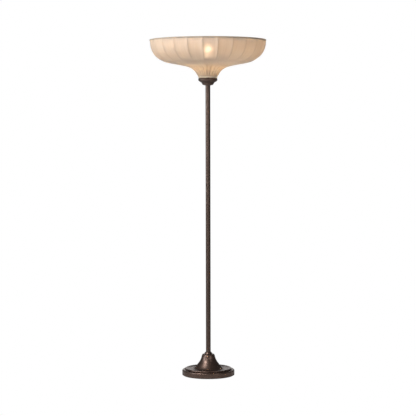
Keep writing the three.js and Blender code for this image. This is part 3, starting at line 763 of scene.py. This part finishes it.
# ---- head ----
def make_head():
    """The bead and the cap under the shade, and the riser tube inside it."""
    bore = POLE_RADIUS + 0.3
    bead = np.concatenate([
        softened([(bore, 1541.3), (bore, 1538.4), (16.0, 1538.7), (19.0, 1539.4)], 0.4, 4, False)[:-1],
        flowing([(19.0, 1539.4), (23.5, 1540.4), (27.6, 1542.3), (29.6, 1545.4), (30.2, 1548.0)], 6)[:-1],
        softened([(30.2, 1548.0), (31.2, 1549.0), (34.2, 1549.7), (34.4, 1552.6), (5.3, 1552.6), (5.3, 1541.3)],
                 np.array([0.5, 0.9, 1.1, 1.0, 0.4, 0.4]), 5, False)])
    piece("head_bead", lathe(bead, 96), CAP_BRONZE, "stand", "cap_bead")

    bowl = flowing([(5.3, 1552.9), (22, 1552.9), (30.5, 1553.0), (36.4, 1554.5), (42.6, 1558.2), (46.8, 1561.1),
                    (49.6, 1564.2), (50.6, 1568.4), (50.0, 1573), (48.5, 1576.2), (47.0, 1577.0), (46.1, 1576.3),
                    (46.3, 1574.6), (47.6, 1571), (47.0, 1566), (44.6, 1563), (40.8, 1560.2), (34.6, 1556.5),
                    (28, 1555.1), (5.3, 1555)], 6)
    piece("head_cap", lathe(bowl, 128), CAP_BRONZE, "stand", "shade_cap")

    riser = softened([(5.4, 1561.3), (8.5, 1561.3), (8.5, 1608), (5.4, 1608)], 0.4, 4)
    piece("head_riser", lathe(stepped(riser, 12), 48), BRONZE, "stand", "riser_tube")


# ---- socket ----
def thread(pitch, depth, low, high):
    """A thread: a cosine that climbs one pitch a turn, faded out at both ends."""
    def ripple(angle, height, radius):
        fade = np.clip((height - low) / pitch, 0, 1) * np.clip((high - height) / pitch, 0, 1)
        return depth * fade * np.cos(TURN * height / pitch - angle)
    return ripple


def make_socket():
    """Cup, core, skirt, screw shell, contact, screws and wires.

    The core is a plain turned shape, without the chamber that its CAD piece has for the switch.
    """
    cup = softened([(5.4, 1608.3), (10, 1608.3), (12, 1611), (17.4, 1615.8), (18.6, 1619), (18.6, 1627.5),
                    (17.3, 1627.5), (17.3, 1619.5), (16.2, 1617.0), (11, 1612.6), (5.4, 1612.6)], 0.9, 4)
    piece("socket_brass_cup", lathe(cup, 96), BRASS, "stand", "socket_cup")

    body = softened([(2, 1645.5), (17, 1645.5), (17, 1626.4), (2, 1626.4)], 0.6, 4)
    seat = lambda angle, height, radius: -0.35 * np.clip(np.cos(6 * angle), 0.6, 1) * (radius > 16)
    piece("socket_core", lathe(stepped(body, 3), 96, True, seat), BLACK, "stand", "socket_body")

    skirt = softened([(14.4, 1645.8), (23, 1645.8), (23, 1650), (19.2, 1650), (19.2, 1680.5), (18.4, 1681.5),
                      (14.4, 1681.5)], 0.5, 4)
    outer_thread = thread(2.5, 0.38, 1652, 1680)
    piece("socket_threaded_skirt", lathe(stepped(skirt, 0.35), 64, True,
                                         lambda a, h, r: outer_thread(a, h, r) * (r > 18)),
          BLACK, "stand", "socket_skirt")

    shell = softened([(3.2, 1645.8), (13.9, 1645.8), (13.9, 1677), (13.5, 1677), (13.5, 1646.4),
                      (3.2, 1646.4)], 0.15, 3)
    inner_thread = thread(3.6, 0.3, 1650, 1676)
    piece("socket_screw_shell", lathe(stepped(shell, 0.45), 64, True,
                                      lambda a, h, r: (0.15 + inner_thread(a, h, r)) * (r > 13) * (h > 1648)),
          BRASS, "stand", "screw_shell")

    tongue = softened([(0, 1641), (1.5, 1641), (1.5, 1648), (2.8, 1648), (2.8, 1649.2), (0, 1649.2)], 0.3, 3, False)
    piece("socket_contact", lathe(tongue, 32, False), BRASS, "stand", "centre_contact")
    for name, side in (("live", 1), ("neutral", -1)):
        screw = softened([(0, 1623.6), (3, 1623.6), (3, 1626.1), (1.3, 1626.1), (1.3, 1634), (0, 1634)], 0.3, 3, False)
        turned = lathe(screw, 32, False)
        turned["points"] = turned["points"] + np.array([0, side * 10.5 * MM, 0])
        piece(f"socket_screw_{name}", turned, BRASS, "stand", f"terminal_screw_{name}")
        route = flowing([(0, side * 1.5, 1618.3), (0, side * 2.4, 1620.4), (0, side * 6.5, 1621.3),
                         (0, side * 9.9, 1621.7), (0, side * 10.5, 1623.2)], 6)
        piece(f"socket_wire_{name}", wire(route, 0.9, (1, 0, 0), 12), BLACK if side > 0 else WHITE_JACKET, "stand",
              f"wire_{name}")


def make_switch():
    """A brass spindle and a fluted knob, lying along +X."""
    at = (0, 0, SWITCH_LEVEL)
    spindle = softened([(0, -4), (2.2, -4), (2.2, 33.4), (0, 33.4)], 0.3, 3, False)
    piece("switch_brass_spindle", lying(lathe(stepped(spindle, 3, False), 32, False), "x", at), BRASS, "switch",
          "switch_spindle")
    knob = softened([(0, 34), (2.5, 34), (2.5, 19.3), (6.4, 19.3), (7, 21), (6.6, 36), (5.4, 38), (0, 38.4)],
                    np.array([0.1, 0.2, 0.4, 0.5, 0.6, 1.4, 1.0, 0.1]), 4, False)
    flutes = lambda angle, height, radius: -0.28 * (0.5 - 0.5 * np.cos(20 * angle)) * (radius > 6) * np.clip(
        (36.5 - height) / 2, 0, 1)
    piece("switch_fluted_knob", lying(lathe(stepped(knob, 0.8, False), 160, False, flutes), "x", at), BLACK, "switch",
          "switch_knob")


def make_ring():
    """The retaining nut, ribbed for the fingers."""
    foot = 1652.6
    nut = softened([(20, foot), (24.4, foot), (24.4, foot + 3.6), (22.4, foot + 5.8), (20, foot + 5.8)], 0.5, 4)
    ribs = lambda angle, height, radius: -0.45 * (0.5 - 0.5 * np.cos(36 * angle)) * np.clip((radius - 23) / 0.8, 0, 1)
    piece("socket_ring_nut", lathe(stepped(nut, 0.6), 288, True, ribs), BLACK, "ring", "ring_nut")


# ---- shade ----
OUTLINE = [
    (50.4, 1584.8), (56.6, 1596), (67.5, 1613), (84.6, 1627.6), (112, 1638.6), (145, 1645.9), (194.7, 1655),
    (228, 1663), (257, 1677.9), (281, 1697.6), (297.6, 1725.0), (304.6, 1750), (SHADE_RADIUS, 1774.9),
]


def smooth_step(value, low, high):
    """0 below low, 1 above high, and an S between."""
    t = np.clip((value - low) / (high - low), 0, 1)
    return t * t * (3 - 2 * t)


def along_outline(points, rows):
    """Points at even lengths along the smooth outline, their outward normals, and those lengths."""
    line = flowing(points, 40)
    run = np.concatenate([[0], np.cumsum(np.linalg.norm(np.diff(line, axis=0), axis=1))])
    wanted = np.linspace(0, run[-1], rows)
    even = np.stack([np.interp(wanted, run, line[:, 0]), np.interp(wanted, run, line[:, 1])], axis=1)
    slope = np.gradient(even, axis=0)
    slope /= np.linalg.norm(slope, axis=1)[:, None]
    return even, np.stack([slope[:, 1], -slope[:, 0]], axis=1), wanted


def cloth_layer(rows, angle, across, depth):
    """One face of the cloth: the smooth outline carried round, then pushed along its normal.

    The push is the sag between ribs (1 - |2x - 1|^3 across each panel, so flat in the middle and steep beside
    the ribs), a low ridge over each rib wire (a bell curve), and the gathers at the neck (rounded ridges with
    narrow valleys, uneven in width, depth and length). depth is how far under the outer face this layer lies.
    """
    even, normal, run = along_outline(OUTLINE, rows)
    radius, height = even[:, :1], even[:, 1:]
    s, a, x = run[:, None], angle[None, :], across[None, :]
    sag = smooth_step(radius, 212, 284) * (1 - 0.75 * smooth_step(height, 1752, 1775))
    ridge = smooth_step(radius, 190, 262)
    panel_width = TURN / RIB_COUNT * radius
    over_rib = np.exp(-((np.minimum(x, 1 - x) * panel_width / 1.9) ** 2))
    doubled = 1 - smooth_step(x * panel_width, 0.55 * SEAM_ALLOWANCE, SEAM_ALLOWANCE)
    sway = 0.9 * np.sin(3 * a + 0.6) + 0.55 * np.sin(5 * a + 2.1) + 0.4 * np.sin(11 * a + 4.0)
    swell = 0.72 + 0.2 * np.sin(4 * a + 1.0) + 0.16 * np.sin(9 * a + 2.4) + 0.12 * np.sin(17 * a + 0.7)
    reach = 96 + 14 * np.sin(7 * a + 1.7) + 9 * np.sin(13 * a + 0.4)
    fold = np.sqrt(np.sin(NECK_FOLDS / 2 * a + sway / 2) ** 2 + 0.015)
    gathered = smooth_step(s, -2, 16) * (1 - smooth_step(s, reach * 0.35, reach * 1.25))
    push = (
        -PANEL_SAG * sag * (1 - np.abs(2 * x - 1) ** 3) + 0.5 * ridge * over_rib
        + 3.0 * gathered * swell * (fold - 0.62) * (0.7 + 0.3 * radius / 80) - depth
    )
    r, z = radius + normal[:, :1] * push, height + normal[:, 1:] * push
    points = np.stack([r * np.sin(a), -r * np.cos(a), z + 0 * a], axis=-1) * MM
    marks = {
        "gather": np.broadcast_to(1 - smooth_step(s, 55, 150), push.shape),
        # Painted shade: a mask for darkening the valleys between the folds.
        "fold_shade": gathered * (1 - fold) ** 2 * 1.6,
        "seam": ridge * np.maximum(doubled, 0.5 * over_rib) + 0 * push,
        # Painted shade: a mask that cuts the light let through the belly.
        "under": 1 - smooth_step(height, 1652, 1695) + 0 * push,
    }
    return points, marks, run


def make_cloth():
    """Outer face from neck to rim, then the inner face back from rim to neck, closed into one thin shell."""
    panel = np.arange(RIB_COUNT)[:, None]
    t = np.arange(24)[None, :] / 24
    across = np.broadcast_to(t - 0.6 * np.sin(TURN * t) / TURN, (RIB_COUNT, 24)).ravel()
    angle = FIRST_RIB + (panel + across.reshape(RIB_COUNT, 24)).ravel() * TURN / RIB_COUNT
    outer, marks_out, run_out = cloth_layer(92, angle, across, 0.0)
    inner, marks_in, run_in = cloth_layer(46, angle, across, CLOTH)
    grid = np.concatenate([outer, inner[::-1]])
    around = np.append(angle, FIRST_RIB + TURN) * SHADE_RADIUS * MM
    down = np.concatenate([run_out, run_in[::-1], run_out[:1]]) * MM
    made = skin(grid, True, None, (around, down))
    made["marks"] = {k: np.concatenate([marks_out[k], marks_in[k][::-1]]).ravel() for k in marks_out}
    return piece("shade_cloth_cover", made, SHADE_CLOTH, "shade", "shade_cloth")


def make_trims():
    """The folded tape on the rim and the flat band at the neck."""
    tape = softened([(SHADE_RADIUS - 3.0, 1773.4), (SHADE_RADIUS - 2.2, 1773.4), (SHADE_RADIUS - 1.4, 1775.4),
                     (SHADE_RADIUS - 0.9, 1775.4), (SHADE_RADIUS - 0.1, 1773.6), (SHADE_RADIUS + 0.5, 1773.6),
                     (SHADE_RADIUS + 0.5, 1777.2), (SHADE_RADIUS - 0.9, HEIGHT), (SHADE_RADIUS - 3.0, 1777.2)],
                    0.5, 4)
    pucker = lambda angle, height, radius: 0.12 * np.sin(RIB_COUNT * 9 * angle + 0.8 * np.sin(31 * angle))
    rim = piece("shade_rim_tape", lathe(tape, 864, True, pucker, True), RIM_TAPE, "shade", "rim_trim")
    band = softened([(48.2, 1578.3), (50.2, 1578.3), (50.7, 1581.4), (50.5, 1585.6), (49.4, 1586.0),
                     (48.6, 1584.6)], 0.5, 4)
    tuck = lambda angle, height, radius: (
        0.22 * np.sin(NECK_FOLDS * angle + 0.9 * np.sin(3 * angle + 0.6)) * smooth_step(height, 1578, 1585))
    hem = piece("shade_neck_band", lathe(band, 384, True, tuck, True), NECK_TAPE, "shade", "neck_hem")
    return rim, hem


def make_cage():
    """Rim ring, neck ring and ribs of painted wire, with a bead of solder where each rib meets the rim ring."""
    line = [(48.2, 1580.6), *OUTLINE[:-1], (SHADE_RADIUS, RIM_RING_LEVEL)]
    even, normal, _ = along_outline(line, 44)
    rib_line = even - RIB_INSET * normal
    rib_path = np.stack([np.zeros(len(rib_line)), -rib_line[:, 0], rib_line[:, 1]], axis=1)
    rib = wire(rib_path, RIB_WIRE, (1, 0, 0), 8)
    solder = blob((0, -302.3, RIM_RING_LEVEL), (2.1, 1.6, 2.6), 6, 8)
    turns = [FIRST_RIB + k * TURN / RIB_COUNT for k in range(RIB_COUNT)]
    parts = [turned_round(rib, a) for a in turns] + [turned_round(solder, a) for a in turns]
    circle = np.arange(192) * TURN / 192
    flat = np.stack([np.sin(circle), -np.cos(circle), 0 * circle], axis=1)
    for radius, gauge, level in ((301.2, RING_WIRE, RIM_RING_LEVEL), (46, RIB_WIRE, 1581)):
        parts.append(wire(flat * radius + np.array([0, 0, level]), gauge, (0, 0, 1), 10, True))
    return piece("shade_wire_cage", parts, WIRE_PAINT, "shade", "shade_cage")


def make_spider():
    """Washer, three arms and the belly ring, soldered where the arms end."""
    level = 1641.9
    washer = lathe(softened([(20.1, 1650.3), (27, 1650.3), (27, 1652.3), (20.1, 1652.3)], 0.4, 3), 96)
    circle = np.arange(144) * TURN / 144
    flat = np.stack([100.5 * np.sin(circle), -100.5 * np.cos(circle), level + 0 * circle], axis=1)
    parts = [washer, wire(flat, RING_WIRE, (0, 0, 1), 12, True)]
    reach = np.linspace(0, 1, 12)[:, None]
    arm_path = np.array([0, -25, 1651.3]) * (1 - reach) + np.array([0, -101, level]) * reach
    arm = wire(arm_path, RING_WIRE, (1, 0, 0), 12)
    for k in range(3):
        angle = FIRST_RIB + k * TURN / 3
        parts.append(turned_round(arm, angle))
        parts.append(turned_round(blob((0, -100.2, level + 0.3), (2.9, 2.4, 2.2)), angle))
        parts.append(turned_round(blob((0, -26.2, 1652.2), (2.6, 2.2, 1.2)), angle))
    piece("shade_spider_fitter", parts, WIRE_PAINT, "shade", "shade_spider")


# ---- bulb ----
def make_bulb():
    """Contact, insulator, threaded cap, clear glass, stem, two wire stars and four filaments."""
    at = lambda profile: [(radius, BULB_TIP + height) for radius, height in profile]
    tip = softened(at([(0, 0), (2.0, 0.1), (2.3, 1.0), (2.3, 2.0), (0, 2.0)]), 0.5, 3, False)
    piece("bulb_tip_contact", lathe(tip, 32, False), BRASS, "bulb", "bulb_contact")
    collar = softened(at([(2.7, 1.1), (5, 1.1), (7.1, 2.6), (7.1, 4), (2.7, 4)]), 0.4, 3)
    piece("bulb_black_insulator", lathe(collar, 48), BLACK_GLASS, "bulb", "bulb_insulator")
    screw = softened(at([(7.5, 2.5), (12.5, 5.5), (12.5, 26.5), (13.0, 27.5), (12.6, 27.5), (12.0, 26.3), (12.0, 5.8),
                         (7.5, 3)]), 0.3, 3)
    climb = thread(3.6, 0.55, BULB_TIP + 6, BULB_TIP + 23)
    piece("bulb_threaded_cap", lathe(stepped(screw, 0.4), 72, True, lambda a, h, r: climb(a, h, r) * (r > 11.5)),
          NICKEL, "bulb", "bulb_screw_cap")

    globe = flowing(at([(12.3, 20), (12.3, 28.5), (14.1, 34.5), (18.9, 46.5), (24.6, 57.8), (28.4, 67), (30, 77.5),
                        (29.2, 87.5), (25.9, 96), (20.4, 102.8), (13.4, 107.3), (6.6, 109.4), (0, 110)]), 6)
    within = inset(globe, 0.9)[::-1]
    within[0] = (0, BULB_TIP + 109.1)
    within[-1] = (11.4, BULB_TIP + 20)
    loop = np.concatenate([globe[::-1], within[::-1]])
    piece("bulb_clear_glass", lathe(loop, 72, False), BULB_GLASS, "bulb", "bulb_glass")

    stem = np.concatenate([
        at([(0, 21), (10.8, 21)]),
        flowing(at([(10.8, 21), (10.2, 24.2), (6.6, 30), (4, 36), (2.6, 43), (2.4, 50)]), 5)[1:],
        softened(at([(2.4, 50), (2.4, 101), (0, 101)]), 1.6, 4, False)[1:]])
    piece("bulb_glass_stem", lathe(stem, 32, False), STEM_GLASS, "bulb", "bulb_stem")

    lean, reach = 2.0, 7.0
    for name, length, level in (("lower", reach, FILAMENT_FOOT - 1.8),
                                ("upper", reach + lean, FILAMENT_FOOT + FILAMENT_LENGTH + 1.8)):
        hub = lathe(softened([(2.6, level - 0.8), (3.5, level - 0.8), (3.5, level + 0.8), (2.6, level + 0.8)],
                             0.25, 3), 32)
        path = np.linspace(0, 1, 5)[:, None] * np.array([length + 0.8 - 3, 0, 0]) + np.array([3, 0, level])
        arm = wire(path, 0.5, (0, 0, 1), 8)
        piece(f"bulb_wire_star_{name}", [hub, *(turned_round(arm, k * TURN / 4) for k in range(4))], NICKEL, "bulb",
              f"filament_star_{name}")
    share = np.linspace(0, 1, 24)[:, None]
    line = np.array([reach, 0, FILAMENT_FOOT - 0.6]) * (1 - share) + np.array(
        [reach + lean, 0, FILAMENT_FOOT + FILAMENT_LENGTH + 0.6]) * share
    rod = wire(line, 1.1, (0, 1, 0), 12)
    height = rod["points"][:, 2] / MM
    ends = np.minimum(height - FILAMENT_FOOT, FILAMENT_FOOT + FILAMENT_LENGTH - height)
    for k in range(4):
        glowing = turned_round(rod, k * TURN / 4)
        glowing["marks"] = {"lit": smooth_step(ends, 0.3, 2.2)}
        piece(f"bulb_filament_{k + 1}", glowing, FILAMENT, "bulb", f"filament_{k + 1}")


def finish_hidden_parts():
    """The CAD pieces that stay as they are, inside the base, the pole, the switch and the bulb."""
    kept = {
        IRON: ["base_weight"],
        STEEL: ["base_rod", "base_washer", "base_lock_nut", "lower_tube_insert", "middle_tube_insert",
                "middle_tube_stud", "upper_tube_stud", "foot_plug", "head_plug", "head_nipple", "cap_lock_nut"],
        BROWN_JACKET: ["inner_lead"],
        RED: ["switch_cam"],
        GREEN_BOARD: ["bulb_driver"],
    }
    for material, names in kept.items():
        for name in names:
            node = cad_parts[name]
            node.data.materials.clear()
            node.data.materials.append(material)


# ---- studio ----
def make_floor():
    """A wide pale floor: one flat disc, matt, with a faint mottle, that the camera sees as plain white."""
    angle = np.arange(96) * TURN / 96
    rim = np.stack([60 * np.sin(angle), 60 * np.cos(angle), 0 * angle - 0.0004], axis=1)
    mesh = bpy.data.meshes.new("studio_floor")
    mesh.from_pydata(rim, [], [list(range(95, -1, -1))])
    material, tree, shader = new_material("studio_floor")
    cloud = use(tree, MOTTLE, Vector=own_place(tree), Scale=2.0, Contrast=0.6)
    tree.links.new(blend_colours(tree, cloud, (0.72, 0.72, 0.72), (0.76, 0.76, 0.76)), shader.inputs["Base Color"])
    shader.inputs["Roughness"].default_value = 0.9
    shader.inputs["Specular IOR Level"].default_value = 0.1
    seen = add(tree, "ShaderNodeLightPath").outputs["Is Camera Ray"]
    glow = add(tree, "ShaderNodeEmission", None, Strength=1.0)
    floor_look = add(tree, "ShaderNodeMixShader", None, i0=seen, i1=shader.outputs[0], i2=glow.outputs[0])
    tree.links.new(floor_look.outputs[0], tree.nodes["Material Output"].inputs["Surface"])
    mesh.materials.append(material)
    floor = bpy.data.objects.new("studio_floor", mesh)
    bpy.context.scene.collection.objects.link(floor)


def make_light(name, place, target, size, power, colour=(1, 1, 1)):
    """A rectangular light at a place, turned towards a target; both are in metres."""
    data = bpy.data.lights.new(name, "AREA")
    data.shape, data.size, data.size_y = "RECTANGLE", size[0], size[1]
    data.energy, data.color = power, colour
    light = bpy.data.objects.new(name, data)
    bpy.context.scene.collection.objects.link(light)
    x, y, z = np.asarray(target, float) - np.asarray(place, float)
    light.location = place
    light.rotation_euler = (math.atan2(math.hypot(x, y), -z), 0, math.atan2(y, x) - math.pi / 2)


def make_studio():
    """The surroundings, white to the camera and dim to everything else, five lights, and the lit bulb."""
    world = bpy.data.worlds.new("studio")
    world.use_nodes = True
    tree = world.node_tree
    backdrop = tree.nodes["Background"]
    backdrop.inputs[0].default_value = (*AMBIENT_TINT, 1)
    backdrop.inputs[1].default_value = AMBIENT
    white = add(tree, "ShaderNodeBackground", None, Color=(1, 1, 1, 1), Strength=1.0)
    seen = add(tree, "ShaderNodeLightPath").outputs["Is Camera Ray"]
    both = add(tree, "ShaderNodeMixShader", None, i0=seen, i1=backdrop.outputs[0], i2=white.outputs[0])
    tree.links.new(both.outputs[0], tree.nodes["World Output"].inputs["Surface"])
    bpy.context.scene.world = world
    bpy.context.scene.view_settings.view_transform = "Standard"
    make_light("side", (-4.1, -1.5, 1.8), (0, 0, 1.3), (1.2, 1.8), SIDE_POWER, (0.93, 1.0, 1.07))
    make_light("strip", (-1.8, -3.9, 1.9), (0, 0, 1.2), (0.5, 2.2), STRIP_POWER, (1.0, 0.97, 0.94))
    make_light("high", (-2.7, -2.3, 4.4), (0, 0, 0.3), (0.8, 0.8), HIGH_POWER)
    make_light("front", (2.35, -3.24, 1.7), (0, 0, 1.0), (0.6, 2.6), FRONT_POWER, (1.0, 0.98, 0.96))
    make_light("back", (0, 4.2, 1.1), (0, 0, 0.5), (2.6, 1.7), BACK_POWER)
    lamp = bpy.data.lights.new("bulb_light", "POINT")
    lamp.energy, lamp.color, lamp.shadow_soft_size = BULB_POWER, BULB_TINT, BULB_LIGHT_RADIUS * MM
    shining = bpy.data.objects.new("bulb_light", lamp)
    bpy.context.scene.collection.objects.link(shining)
    shining.location = (0, 0, (FILAMENT_FOOT + FILAMENT_LENGTH / 2) * MM)
    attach(shining, "bulb")


AMBIENT, AMBIENT_TINT, BULB_POWER, BULB_TINT = 0.09, (1.0, 0.99, 0.98), 5.5, (1.0, 0.87, 0.68)
SIDE_POWER, HIGH_POWER, STRIP_POWER, FRONT_POWER, BACK_POWER = 56, 132, 26, 20, 13

make_floor()
make_studio()
make_base()
make_pole()
make_head()
make_socket()
make_switch()
make_ring()
cloth = make_cloth()
rim_tape, neck_band = make_trims()
cage = make_cage()
make_spider()
make_bulb()
finish_hidden_parts()
